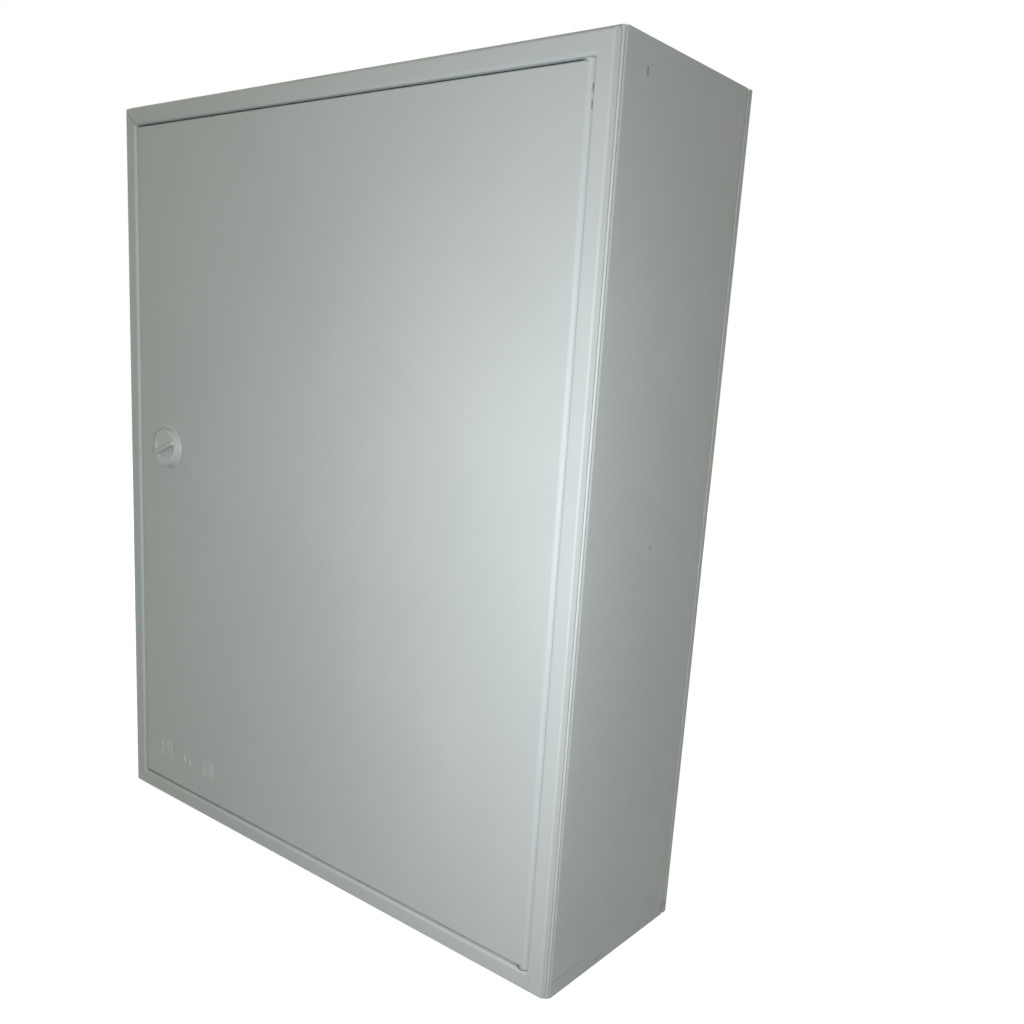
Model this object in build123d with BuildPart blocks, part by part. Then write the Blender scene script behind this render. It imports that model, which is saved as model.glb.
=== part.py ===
import math
import os

from build123d import *

os.makedirs("parts", exist_ok=True)

# A wall-mounting sheet-steel cabinet: x runs across it, y to the back, z up.
# The origin is under the middle of its box, where it would stand on a flat surface.

# Overall sizes
width = 650.0
height = 800.0
body_depth = 210.0
sheet = 1.5

# Walls and back
wall_bend = 5.0
rear_bend = 3.0
back_lap = 8.0
lap_reach = 4.5
lap_bend = 2.0
joggle_clearance = 1.0
wall_hole_radius = 4.5
wall_hole_inset_x = 60.0
wall_hole_inset_z = 60.0

# Raised front frame
frame_proud = 7.0
frame_width = 20.5
frame_inset = 5.5
frame_outer_bend = 2.5
frame_inner_bend = 3.0
frame_foot_bend = 1.6
frame_foot_reach = 12.0
frame_flank_angle = 62.0
frame_corner_radius = 4.0
flange_clearance = 0.3
rebate_depth = 17.0
lip_bend = 1.8
lip_width = 12.0
hinge_lip_width = 22.0
mitre_slit_width = 0.9
mitre_slit_start = 8.0
mitre_pinhole_width = 1.2
mitre_pinhole_length = 4.0
mitre_pinhole_inset = 17.8

# Door
door_recess = 3.0
door_thickness = 12.0
door_gap_lock = 0.5
door_gap_top = 1.5
door_gap_bottom = 1.3
door_gap_hinge = 1.8
door_edge_radius = 2.0
door_return = 12.0
stiffener_width = 44.0
stiffener_depth = 10.0
stiffener_brim = 12.0
stiffener_sheet = 1.2
stiffener_margin = 60.0
stiffener_inset = 106.7
gasket_thickness = 1.7
gasket_width = 9.0
gasket_inset = 1.5

# Pivot hinge
pin_radius = 3.0
pin_running_clearance = 0.05
pin_overshoot = 1.5
pin_hole_clearance = 0.3
notch_clearance = 1.7
hinge_plate_thickness = 3.0
hinge_plate_width = 20.0
hinge_plate_margin = 0.3
washer_thickness = 1.0
washer_clearance = 0.7
pivot_play = 0.3
boss_length = 30.0
boss_clearance = 0.1
pocket_depth = 3.5

# Quarter-turn lock
lock_inset = 56.5
lock_z = 432.0
lock_stand = 9.5
grip_proud = 1.5
collar_radius = 24.5
collar_rim_radius = 21.5
bowl_radius = 18.8
bowl_floor = 2.0
knob_clearance = 0.3
knob_disc_thickness = 2.2
grip_length = 33.0
grip_width = 9.5
grip_angle = 42.0
spindle_radius = 5.0
spindle_clearance = 0.05
barrel_radius = 11.0
barrel_length = 17.0
lock_nut_flats = 27.0
lock_nut_thickness = 6.0
thread_clearance = 0.05
cam_thickness = 3.0
cam_reach = 42.0
cam_width = 16.0
cam_square = 7.0
cam_gap = 0.3
cam_washer_radius = 8.0
cam_washer_thickness = 1.2
cam_screw_radius = 2.5
cam_screw_length = 12.0
cam_head_radius = 5.0
cam_head_height = 3.5
keeper_thickness = 2.5
keeper_length = 40.0
keeper_reach = 16.0

# Document pocket on the inside of the door
pocket_width = 236.0
pocket_height = 150.0
pocket_room = 22.0
pocket_wall = 2.0
pocket_z = 300.0

# Cable entry in the base
entry_width = 320.0
entry_depth = 75.0
entry_setback = 70.0
gland_margin = 18.0
gland_thickness = 2.0
gland_gasket_thickness = 2.0
gland_screw_radius = 2.5
gland_screw_inset = 8.0
screw_head_radius = 4.5
screw_head_height = 3.0

# Equipment plate
plate_margin = 32.0
plate_thickness = 2.0
plate_standoff = 18.0
stud_radius = 4.0
stud_inset = 22.0
stud_protrusion = 14.0
stud_clearance = 0.5
nut_flats = 13.0
nut_thickness = 6.5
rail_height = 35.0
rail_depth = 7.5
rail_sheet = 1.0
rail_channel = 27.0
rail_inset = 33.0
rail_upper_z = 600.0
rail_lower_z = 430.0
rail_screw_radius = 2.5
rail_slot_pitch = 25.0
rail_slot_length = 18.0
rail_slot_width = 5.2
rail_head_radius = 4.5
rail_head_height = 2.5

# Earth bar
bar_length = 180.0
bar_height = 12.0
bar_thickness = 5.0
bar_z = 130.0
bar_support_width = 14.0
bar_support_depth = 16.0
bar_hole_radius = 2.6
bar_hole_pitch = 14.0
bar_holes = 9

# Planes and edges worked out from the sizes above
half_width = width / 2
total_depth = lock_stand - door_recess + frame_proud + body_depth
face_y = -total_depth / 2 + lock_stand - door_recess
rear_depth = frame_proud + body_depth
opening_right = half_width - frame_width
opening_left = -opening_right
opening_bottom = frame_width
opening_top = height - frame_width

roll_radius = door_thickness / 2
hinge_x = opening_right - door_gap_hinge - roll_radius
hinge_depth = door_recess + roll_radius
roll_inner_radius = roll_radius - sheet
door_left = opening_left + door_gap_lock
door_bottom = opening_bottom + door_gap_bottom
door_top = opening_top - door_gap_top
door_height = door_top - door_bottom
door_back_depth = door_recess + door_thickness
lip_back_depth = rebate_depth + sheet
lock_x = opening_left + lock_inset
stiffener_x = hinge_x - stiffener_inset
stiffener_left = stiffener_x - stiffener_width / 2 - stiffener_brim
pocket_x = (lock_x + stiffener_left) / 2

x_axis = Vector(1, 0, 0)
y_axis = Vector(0, 1, 0)
z_axis = Vector(0, 0, 1)


def at_depth(depth):
    """The y of a plane at a depth behind the face of the raised frame."""
    return face_y + depth


def depth_plane(depth):
    """A plane facing the viewer at a depth, its x across and its y up."""
    return Plane(origin=(0, at_depth(depth), 0), x_dir=(1, 0, 0), z_dir=(0, -1, 0))


def folded_section(plane, points, radii):
    """The section of a sheet folded along points, its metal to the left of the path."""
    outer = [Vector(*point) for point in points]
    runs = [(b - a).normalized() for a, b in zip(outer, outer[1:])]
    normals = [Vector(-run.Y, run.X) for run in runs]
    inner = [outer[0] + normals[0] * sheet]
    inner_radii = []
    for i, radius in enumerate(radii):
        before, after = normals[i], normals[i + 1]
        inner.append(outer[i + 1] + (before + after) * (sheet / (1 + before.dot(after))))
        turns_left = runs[i].cross(runs[i + 1]).Z > 0
        inner_radii.append(radius - sheet if turns_left else radius + sheet)
    inner.append(outer[-1] + normals[-1] * sheet)
    with BuildSketch(plane) as section:
        with BuildLine():
            FilletPolyline(*outer, radius=radii)
            Line(outer[-1], inner[-1])
            FilletPolyline(*inner[::-1], radius=inner_radii[::-1])
            Line(inner[0], outer[0])
        make_face()
    return section.sketch


def mitred_member(points, radii, inward, middle, length):
    """A folded member along one edge of the outline, cut at 45 degrees at both ends."""
    along = inward.cross(y_axis)
    plane = Plane(origin=middle, x_dir=inward, z_dir=along)
    section = folded_section(plane, points, radii)
    with BuildPart() as member:
        extrude(section, amount=length / 2, both=True)
        for end in (along, -along):
            corner = middle + end * (length / 2)
            split(bisect_by=Plane(origin=corner, z_dir=end + inward), keep=Keep.BOTTOM)
    return member


# Where each of the four sides runs: its inward direction, its middle and its length
sides = {
    "left": (x_axis, Vector(-half_width, face_y, height / 2), height),
    "right": (-x_axis, Vector(half_width, face_y, height / 2), height),
    "top": (-z_axis, Vector(0, face_y, height), width),
    "bottom": (z_axis, Vector(0, face_y, 0), width),
}

# Wall section: rear lap, joggle to the outer face, front bend and front flange
wall_points = [
    (sheet, rear_depth - back_lap + lap_reach),
    (sheet, rear_depth - back_lap - joggle_clearance),
    (0, rear_depth - back_lap - joggle_clearance - sheet),
    (0, frame_proud),
    (frame_width - sheet - flange_clearance, frame_proud),
]
wall_radii = [lap_bend, lap_bend, wall_bend]

walls = {}
for side, (inward, middle, length) in sides.items():
    walls[side] = mitred_member(wall_points, wall_radii, inward, middle, length)

# Rectangle of the hinge plates, from which the wall flanges are cut clear
hinge_plate_front = frame_inner_bend + hinge_plate_margin
hinge_plate_depth = rebate_depth - hinge_plate_front
hinge_plate_mid_depth = hinge_plate_front + hinge_plate_depth / 2
flange_pocket_width = hinge_plate_width + 2 * hinge_plate_margin
flange_pocket_height = hinge_plate_thickness + pocket_depth
return_inner = frame_width - sheet
entry_mid_depth = entry_setback + entry_depth / 2

with BuildPart() as wall_bottom:
    add(walls["bottom"].part)
    with BuildSketch(Plane.XY.offset(return_inner - flange_pocket_height)):
        with Locations((hinge_x, at_depth(frame_proud + sheet / 2))):
            Rectangle(flange_pocket_width, 2 * sheet)
    extrude(amount=flange_pocket_height, mode=Mode.SUBTRACT)
    with BuildSketch(Plane.XY):
        with Locations((0, at_depth(entry_mid_depth))):
            Rectangle(entry_width, entry_depth)
    extrude(amount=sheet, mode=Mode.SUBTRACT)
    screw_x = entry_width / 2 + gland_margin - gland_screw_inset
    screw_y = entry_depth / 2 + gland_margin - gland_screw_inset
    with BuildSketch(Plane.XY):
        with Locations((0, at_depth(entry_mid_depth))):
            with GridLocations(screw_x, 2 * screw_y, 3, 2):
                Circle(gland_screw_radius)
    extrude(amount=sheet, mode=Mode.SUBTRACT)
wall_bottom.part.label = "wall_bottom"
export_step(wall_bottom.part, "parts/wall_bottom.step")

with BuildPart() as wall_top:
    add(walls["top"].part)
    with BuildSketch(Plane.XY.offset(height - return_inner)):
        with Locations((hinge_x, at_depth(frame_proud + sheet / 2))):
            Rectangle(flange_pocket_width, 2 * sheet)
    extrude(amount=flange_pocket_height, mode=Mode.SUBTRACT)
wall_top.part.label = "wall_top"
export_step(wall_top.part, "parts/wall_top.step")

with BuildPart() as wall_left:
    add(walls["left"].part)
wall_left.part.label = "wall_left"
export_step(wall_left.part, "parts/wall_left.step")

with BuildPart() as wall_right:
    add(walls["right"].part)
wall_right.part.label = "wall_right"
export_step(wall_right.part, "parts/wall_right.step")

# Back: a shallow tray whose flanges lie over the laps of the walls
with BuildPart() as back_panel:
    with BuildSketch(depth_plane(rear_depth - back_lap)):
        with Locations((0, height / 2)):
            Rectangle(width, height)
    extrude(amount=-back_lap)
    fillet(back_panel.faces().sort_by(Axis.Y)[-1].edges(), rear_bend)
    offset(amount=-sheet, openings=back_panel.faces().sort_by(Axis.Y)[0])
    with BuildSketch(depth_plane(rear_depth - back_lap)):
        with Locations((0, height / 2)):
            with GridLocations(width - 2 * wall_hole_inset_x, height - 2 * wall_hole_inset_z, 2, 2):
                Circle(wall_hole_radius)
    extrude(amount=-back_lap, mode=Mode.SUBTRACT)
back_panel.part.label = "back_panel"
export_step(back_panel.part, "parts/back_panel.step")


def frame_points(lip):
    """Frame section: foot, flank, face, return beside the door and sealing lip."""
    flank = math.radians(frame_flank_angle)
    corner = frame_inset - frame_outer_bend * math.tan(flank / 2)
    foot = corner - frame_proud / math.tan(flank)
    return [
        (frame_foot_reach, frame_proud),
        (foot, frame_proud),
        (corner, 0),
        (frame_width, 0),
        (frame_width, rebate_depth),
        (frame_width + lip, rebate_depth),
    ]


frame_radii = [frame_foot_bend, frame_outer_bend, frame_inner_bend, lip_bend]
frame_foot_depth = rebate_depth + sheet

# The outline of the frame is ground round at its four corners
with BuildSketch(depth_plane(0)) as frame_outline:
    with Locations((0, height / 2)):
        RectangleRounded(width - 2 * sheet, height - 2 * sheet, frame_corner_radius)


def diagonal_slot(corner_x, corner_z, start, end, slot_width, slot_depth):
    """A slot along the mitre, from start to end measured inward from the outline."""
    toward_x = -1 if corner_x > 0 else 1
    toward_z = -1 if corner_z > height / 2 else 1
    middle = (start + end) / 2
    angle = 45 if toward_x * toward_z > 0 else -45
    with BuildPart() as slot:
        with BuildSketch(depth_plane(-sheet)):
            place = (corner_x + toward_x * middle, corner_z + toward_z * middle, 0)
            with Locations(Location(place, (0, 0, angle))):
                Rectangle((end - start) * math.sqrt(2), slot_width)
        extrude(amount=-slot_depth - sheet)
    return slot.part


def pivot_hole(bottom, depth, radius):
    """A round hole about the pivot axis, upward from bottom."""
    with BuildPart() as hole:
        with BuildSketch(Plane.XY.offset(bottom)):
            with Locations((hinge_x, at_depth(hinge_depth))):
                Circle(radius)
        extrude(amount=depth)
    return hole.part


slit_end = frame_width + sheet
open_slit = diagonal_slot(-half_width, height, mitre_slit_start, slit_end, mitre_slit_width, frame_inner_bend)
pinhole_start = mitre_pinhole_inset - mitre_pinhole_length / 2
pinhole_end = mitre_pinhole_inset + mitre_pinhole_length / 2
pinhole = diagonal_slot(half_width, 0, pinhole_start, pinhole_end, mitre_pinhole_width, sheet)
notch_radius = roll_radius + notch_clearance
notch_bottom = pivot_hole(return_inner - frame_inner_bend, 2 * frame_inner_bend, notch_radius)
pin_hole_radius = pin_radius + pin_hole_clearance
pin_hole_top = pivot_hole(opening_top - frame_inner_bend, 2 * frame_inner_bend, pin_hole_radius)
frame_cuts = {
    "left": [open_slit],
    "right": [pinhole],
    "top": [open_slit, pin_hole_top],
    "bottom": [pinhole, notch_bottom],
}

for side, (inward, middle, length) in sides.items():
    lip = hinge_lip_width if side == "right" else lip_width
    member = mitred_member(frame_points(lip), frame_radii, inward, middle, length)
    with BuildPart() as frame_member:
        add(member.part)
        extrude(frame_outline.sketch, amount=-frame_foot_depth, mode=Mode.INTERSECT)
        for cut in frame_cuts[side]:
            add(cut, mode=Mode.SUBTRACT)
    frame_member.part.label = f"frame_{side}"
    export_step(frame_member.part, f"parts/frame_{side}.step")

# Pivot plates lie against the hidden side of the frame's return
for name, bottom in (("bottom", return_inner - hinge_plate_thickness), ("top", height - return_inner)):
    with BuildPart() as hinge_plate:
        with BuildSketch(Plane.XY.offset(bottom)):
            with Locations((hinge_x, at_depth(hinge_plate_mid_depth))):
                Rectangle(hinge_plate_width, hinge_plate_depth)
            with Locations((hinge_x, at_depth(hinge_depth))):
                Circle(pin_radius + pin_running_clearance, mode=Mode.SUBTRACT)
        extrude(amount=hinge_plate_thickness)
    hinge_plate.part.label = f"hinge_plate_{name}"
    export_step(hinge_plate.part, f"parts/hinge_plate_{name}.step")

with BuildPart() as hinge_washer:
    with BuildSketch(Plane.XY.offset(return_inner)):
        with Locations((hinge_x, at_depth(hinge_depth))):
            Circle(notch_radius - washer_clearance)
            Circle(pin_hole_radius, mode=Mode.SUBTRACT)
    extrude(amount=washer_thickness)
hinge_washer.part.label = "hinge_washer"
export_step(hinge_washer.part, "parts/hinge_washer.step")

# Keeper behind the lip on the lock side
keeper_left = opening_left + sheet
keeper_right = opening_left + lip_width + keeper_reach
with BuildPart() as lock_keeper:
    with BuildSketch(depth_plane(lip_back_depth)):
        with Locations(((keeper_left + keeper_right) / 2, lock_z)):
            Rectangle(keeper_right - keeper_left, keeper_length)
    extrude(amount=-keeper_thickness)
    fillet(lock_keeper.edges().filter_by(Axis.Y), sheet)
lock_keeper.part.label = "lock_keeper"
export_step(lock_keeper.part, "parts/lock_keeper.step")

# Door: a shallow pan, open to the back, with its hinge edge rolled round the pivot
pan_width = hinge_x - door_left
pan_middle = ((door_left + hinge_x) / 2, door_bottom + door_height / 2)
with BuildPart() as door_panel:
    with BuildSketch(depth_plane(door_recess)):
        with Locations(pan_middle):
            Rectangle(pan_width, door_height)
    extrude(amount=-door_thickness)
    front_edges = door_panel.faces().sort_by(Axis.Y)[0].edges()
    left_edges = door_panel.faces().sort_by(Axis.X)[0].edges().filter_by(Axis.Y)
    fillet(front_edges.sort_by(Axis.X)[:-1] + left_edges, door_edge_radius)
    back_face = door_panel.faces().sort_by(Axis.Y)[-1]
    hinge_face = door_panel.faces().sort_by(Axis.X)[-1]
    offset(amount=-sheet, openings=[back_face, hinge_face])
    with BuildSketch(depth_plane(door_back_depth - sheet)):
        with Locations(pan_middle):
            RectangleRounded(pan_width, door_height, door_edge_radius)
            Rectangle(pan_width - 2 * door_return, door_height - 2 * door_return, mode=Mode.SUBTRACT)
        with Locations((hinge_x - door_edge_radius, pan_middle[1])):
            Rectangle(2 * door_edge_radius, door_height)
    extrude(amount=-sheet)
    with BuildSketch(Plane.XY.offset(door_bottom)):
        with Locations((hinge_x, at_depth(hinge_depth))):
            Circle(roll_radius)
            Circle(roll_inner_radius, mode=Mode.SUBTRACT)
            with Locations((-roll_radius, 0)):
                Rectangle(2 * roll_radius, 2 * roll_radius, mode=Mode.SUBTRACT)
    extrude(amount=door_height)
    with BuildSketch(Plane.XY.offset(door_bottom)):
        with Locations((hinge_x, at_depth(hinge_depth))):
            Circle(roll_inner_radius)
    extrude(amount=door_height, mode=Mode.SUBTRACT)
    with BuildSketch(depth_plane(door_recess)):
        with Locations((lock_x, lock_z)):
            Circle(barrel_radius + boss_clearance)
    extrude(amount=-door_thickness, mode=Mode.SUBTRACT)
door_panel.part.label = "door_panel"
export_step(door_panel.part, "parts/door_panel.step")

# A top-hat stiffener welded up the inside of the door skin
skin_back_depth = door_recess + sheet
with BuildPart() as door_stiffener:
    with BuildSketch(Plane.XY.offset(door_bottom + stiffener_margin)):
        with Locations((stiffener_x, at_depth(skin_back_depth))):
            with Locations((0, stiffener_depth / 2)):
                Rectangle(stiffener_width, stiffener_depth)
            with Locations((0, stiffener_sheet / 2)):
                Rectangle(stiffener_width + 2 * stiffener_brim, stiffener_sheet)
            with Locations((0, (stiffener_depth - stiffener_sheet) / 2)):
                hollow = stiffener_width - 2 * stiffener_sheet
                Rectangle(hollow, stiffener_depth - stiffener_sheet, mode=Mode.SUBTRACT)
    extrude(amount=door_height - 2 * stiffener_margin)
door_stiffener.part.label = "door_stiffener"
export_step(door_stiffener.part, "parts/door_stiffener.step")

# Sealing strip round the back of the door, just clear of the lip
gasket_left = door_left + gasket_inset
gasket_right = hinge_x - gasket_inset
gasket_bottom = door_bottom + gasket_inset
gasket_top = door_top - gasket_inset
gasket_middle = ((gasket_left + gasket_right) / 2, (gasket_bottom + gasket_top) / 2)
with BuildPart() as door_gasket:
    with BuildSketch(depth_plane(door_back_depth)):
        with Locations(gasket_middle):
            Rectangle(gasket_right - gasket_left, gasket_top - gasket_bottom)
            inner_width = gasket_right - gasket_left - 2 * gasket_width
            inner_height = gasket_top - gasket_bottom - 2 * gasket_width
            Rectangle(inner_width, inner_height, mode=Mode.SUBTRACT)
    extrude(amount=-gasket_thickness)
door_gasket.part.label = "door_gasket"
export_step(door_gasket.part, "parts/door_gasket.step")

# Bosses in the ends of the rolled edge, each with its pin pressed in
boss_radius = roll_inner_radius - boss_clearance
lower_head_bottom = return_inner + washer_thickness + pivot_play
upper_head_top = opening_top - pivot_play
with BuildPart() as hinge_boss_bottom:
    with BuildSketch(Plane.XY.offset(lower_head_bottom)):
        with Locations((hinge_x, at_depth(hinge_depth))):
            Circle(roll_radius)
    extrude(amount=door_bottom - lower_head_bottom)
    with BuildSketch(Plane.XY.offset(door_bottom)):
        with Locations((hinge_x, at_depth(hinge_depth))):
            Circle(boss_radius)
    extrude(amount=boss_length)
    with BuildSketch(Plane.XY.offset(lower_head_bottom)):
        with Locations((hinge_x, at_depth(hinge_depth))):
            Circle(pin_radius)
    extrude(amount=door_bottom - lower_head_bottom + boss_length, mode=Mode.SUBTRACT)
hinge_boss_bottom.part.label = "hinge_boss_bottom"
export_step(hinge_boss_bottom.part, "parts/hinge_boss_bottom.step")

with BuildPart() as hinge_boss_top:
    with BuildSketch(Plane.XY.offset(door_top)):
        with Locations((hinge_x, at_depth(hinge_depth))):
            Circle(roll_radius)
    extrude(amount=upper_head_top - door_top)
    with BuildSketch(Plane.XY.offset(door_top - boss_length)):
        with Locations((hinge_x, at_depth(hinge_depth))):
            Circle(boss_radius)
    extrude(amount=boss_length)
    with BuildSketch(Plane.XY.offset(door_top - boss_length)):
        with Locations((hinge_x, at_depth(hinge_depth))):
            Circle(pin_radius)
    extrude(amount=upper_head_top - door_top + boss_length, mode=Mode.SUBTRACT)
hinge_boss_top.part.label = "hinge_boss_top"
export_step(hinge_boss_top.part, "parts/hinge_boss_top.step")

lower_pin_bottom = return_inner - hinge_plate_thickness - pin_overshoot
upper_pin_top = height - lower_pin_bottom
with BuildPart() as hinge_pin_bottom:
    with BuildSketch(Plane.XY.offset(lower_pin_bottom)):
        with Locations((hinge_x, at_depth(hinge_depth))):
            Circle(pin_radius)
    extrude(amount=door_bottom + boss_length - lower_pin_bottom)
hinge_pin_bottom.part.label = "hinge_pin_bottom"
export_step(hinge_pin_bottom.part, "parts/hinge_pin_bottom.step")

with BuildPart() as hinge_pin_top:
    with BuildSketch(Plane.XY.offset(door_top - boss_length)):
        with Locations((hinge_x, at_depth(hinge_depth))):
            Circle(pin_radius)
    extrude(amount=upper_pin_top - door_top + boss_length)
hinge_pin_top.part.label = "hinge_pin_top"
export_step(hinge_pin_top.part, "parts/hinge_pin_top.step")

# Open-topped document pocket on the inside of the door skin
pocket_back_depth = skin_back_depth + pocket_room + pocket_wall
with BuildPart() as document_pocket:
    with BuildSketch(depth_plane(skin_back_depth)):
        with Locations((pocket_x, pocket_z + pocket_height / 2)):
            RectangleRounded(pocket_width, pocket_height, 2 * pocket_wall)
    extrude(amount=-pocket_room - pocket_wall)
    with BuildSketch(depth_plane(skin_back_depth)):
        with Locations((pocket_x, pocket_z + pocket_height / 2 + pocket_wall)):
            Rectangle(pocket_width - 2 * pocket_wall, pocket_height)
    extrude(amount=-pocket_room, mode=Mode.SUBTRACT)
document_pocket.part.label = "document_pocket"
export_step(document_pocket.part, "parts/document_pocket.step")

# Lock: a collar on the door face with a bowl for the knob, and a barrel through the skin
rim_depth = door_recess - lock_stand + grip_proud
bowl_depth = door_recess - bowl_floor
barrel_end_depth = door_recess + barrel_length
lock_plane = Plane(origin=(lock_x, at_depth(0), lock_z), x_dir=(1, 0, 0), z_dir=(0, 0, 1))
lock_axis = Axis((lock_x, at_depth(0), lock_z), (0, 1, 0))
with BuildPart() as lock_housing:
    with BuildSketch(lock_plane):
        with BuildLine():
            Polyline(
                (spindle_radius + spindle_clearance, bowl_depth),
                (bowl_radius, bowl_depth),
                (bowl_radius, rim_depth),
                (collar_rim_radius, rim_depth),
                (collar_radius, door_recess),
                (barrel_radius, door_recess),
                (barrel_radius, barrel_end_depth),
                (spindle_radius + spindle_clearance, barrel_end_depth),
                close=True,
            )
        make_face()
    revolve(axis=lock_axis)
    rim_edges = lock_housing.faces().sort_by(Axis.Y)[0].edges()
    fillet(rim_edges, 0.8)
lock_housing.part.label = "lock_housing"
export_step(lock_housing.part, "parts/lock_housing.step")

with BuildPart() as lock_nut:
    with BuildSketch(depth_plane(skin_back_depth)):
        with Locations((lock_x, lock_z)):
            RegularPolygon(lock_nut_flats / 2, 6, major_radius=False)
            Circle(barrel_radius + thread_clearance, mode=Mode.SUBTRACT)
    extrude(amount=-lock_nut_thickness)
lock_nut.part.label = "lock_nut"
export_step(lock_nut.part, "parts/lock_nut.step")

# Knob: a disc in the bowl with a grip bar across it, and a spindle to the cam
disc_back_depth = bowl_depth - knob_clearance
disc_front_depth = disc_back_depth - knob_disc_thickness
grip_front_depth = door_recess - lock_stand
disc_radius = bowl_radius - knob_clearance
cam_front_depth = lip_back_depth + keeper_thickness + cam_gap
cam_back_depth = cam_front_depth + cam_thickness
with BuildPart() as lock_knob:
    with BuildSketch(depth_plane(disc_front_depth)):
        with Locations((lock_x, lock_z)):
            Circle(disc_radius)
    extrude(amount=-knob_disc_thickness)
    with BuildSketch(depth_plane(grip_front_depth)):
        with Locations(Location((lock_x, lock_z, 0), (0, 0, grip_angle))):
            SlotOverall(grip_length, grip_width)
    extrude(amount=-(disc_front_depth - grip_front_depth), taper=-8)
    with BuildSketch(depth_plane(disc_back_depth)):
        with Locations((lock_x, lock_z)):
            Circle(spindle_radius)
    extrude(amount=-(cam_front_depth - disc_back_depth))
    with BuildSketch(depth_plane(cam_front_depth)):
        with Locations((lock_x, lock_z)):
            Rectangle(cam_square, cam_square)
    extrude(amount=-cam_thickness)
    with BuildSketch(depth_plane(cam_back_depth)):
        with Locations((lock_x, lock_z)):
            Circle(cam_screw_radius)
    extrude(amount=cam_screw_length - cam_washer_thickness, mode=Mode.SUBTRACT)
lock_knob.part.label = "lock_knob"
export_step(lock_knob.part, "parts/lock_knob.step")

# The cam hangs down at rest and turns a quarter towards the keeper
with BuildPart() as lock_cam:
    with BuildSketch(depth_plane(cam_front_depth)):
        with Locations((lock_x, lock_z)):
            Circle(cam_width / 2)
            with Locations((0, -cam_reach / 2)):
                Rectangle(cam_width, cam_reach)
            Rectangle(cam_square, cam_square, mode=Mode.SUBTRACT)
    extrude(amount=-cam_thickness)
    end_edges = lock_cam.edges().filter_by(Axis.Y).sort_by(Axis.Z)[:2]
    fillet(end_edges, cam_width / 4)
lock_cam.part.label = "lock_cam"
export_step(lock_cam.part, "parts/lock_cam.step")

washer_back_depth = cam_back_depth + cam_washer_thickness
with BuildPart() as cam_washer:
    with BuildSketch(depth_plane(cam_back_depth)):
        with Locations((lock_x, lock_z)):
            Circle(cam_washer_radius)
            Circle(cam_screw_radius + thread_clearance, mode=Mode.SUBTRACT)
    extrude(amount=-cam_washer_thickness)
cam_washer.part.label = "cam_washer"
export_step(cam_washer.part, "parts/cam_washer.step")

with BuildPart() as cam_screw:
    with BuildSketch(depth_plane(washer_back_depth)):
        with Locations((lock_x, lock_z)):
            RegularPolygon(cam_head_radius, 6)
    extrude(amount=-cam_head_height)
    with BuildSketch(depth_plane(washer_back_depth)):
        with Locations((lock_x, lock_z)):
            Circle(cam_screw_radius)
    extrude(amount=cam_screw_length)
cam_screw.part.label = "cam_screw"
export_step(cam_screw.part, "parts/cam_screw.step")

# Blanking plate and its gasket over the cable entry, inside the base
gland_width = entry_width + 2 * gland_margin
gland_depth = entry_depth + 2 * gland_margin
gland_plate_bottom = sheet + gland_gasket_thickness
gland_plate_top = gland_plate_bottom + gland_thickness
gland_layers = {
    "gland_gasket": (sheet, gland_gasket_thickness),
    "gland_plate": (gland_plate_bottom, gland_thickness),
}
for label, (bottom, thickness) in gland_layers.items():
    with BuildPart() as gland_layer:
        with BuildSketch(Plane.XY.offset(bottom)):
            with Locations((0, at_depth(entry_mid_depth))):
                RectangleRounded(gland_width, gland_depth, gland_screw_inset / 2)
                with GridLocations(screw_x, 2 * screw_y, 3, 2):
                    Circle(gland_screw_radius, mode=Mode.SUBTRACT)
                if label == "gland_gasket":
                    Rectangle(entry_width, entry_depth, mode=Mode.SUBTRACT)
        extrude(amount=thickness)
    gland_layer.part.label = label
    export_step(gland_layer.part, f"parts/{label}.step")

with BuildPart() as gland_screws:
    with BuildSketch(Plane.XY.offset(gland_plate_top)):
        with Locations((0, at_depth(entry_mid_depth))):
            with GridLocations(screw_x, 2 * screw_y, 3, 2):
                Circle(screw_head_radius)
    extrude(amount=screw_head_height)
    with BuildSketch(Plane.XY):
        with Locations((0, at_depth(entry_mid_depth))):
            with GridLocations(screw_x, 2 * screw_y, 3, 2):
                Circle(gland_screw_radius)
    extrude(amount=gland_plate_top)
gland_screws.part.label = "gland_screws"
export_step(gland_screws.part, "parts/gland_screws.step")

# Equipment plate on four studs welded to the back
back_inner_depth = rear_depth - sheet
plate_back_depth = back_inner_depth - plate_standoff
plate_front_depth = plate_back_depth - plate_thickness
plate_width = width - 2 * plate_margin
plate_height = height - 2 * plate_margin
rail_length = plate_width - 2 * rail_inset
rail_slots = int(rail_length / rail_slot_pitch)
rail_screw_spacing = (rail_slots - 3) * rail_slot_pitch
stud_spacing_x = plate_width - 2 * stud_inset
stud_spacing_z = plate_height - 2 * stud_inset
with BuildPart() as plate_studs:
    with BuildSketch(depth_plane(back_inner_depth)):
        with Locations((0, height / 2)):
            with GridLocations(stud_spacing_x, stud_spacing_z, 2, 2):
                Circle(stud_radius)
    extrude(amount=plate_standoff + plate_thickness + stud_protrusion)
plate_studs.part.label = "plate_studs"
export_step(plate_studs.part, "parts/plate_studs.step")

with BuildPart() as plate_nuts:
    for nut_back_depth in (plate_back_depth + nut_thickness, plate_front_depth):
        with BuildSketch(depth_plane(nut_back_depth)):
            with Locations((0, height / 2)):
                with GridLocations(stud_spacing_x, stud_spacing_z, 2, 2):
                    RegularPolygon(nut_flats / 2, 6, major_radius=False)
                    Circle(stud_radius + thread_clearance, mode=Mode.SUBTRACT)
        extrude(amount=nut_thickness)
plate_nuts.part.label = "plate_nuts"
export_step(plate_nuts.part, "parts/plate_nuts.step")

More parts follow.
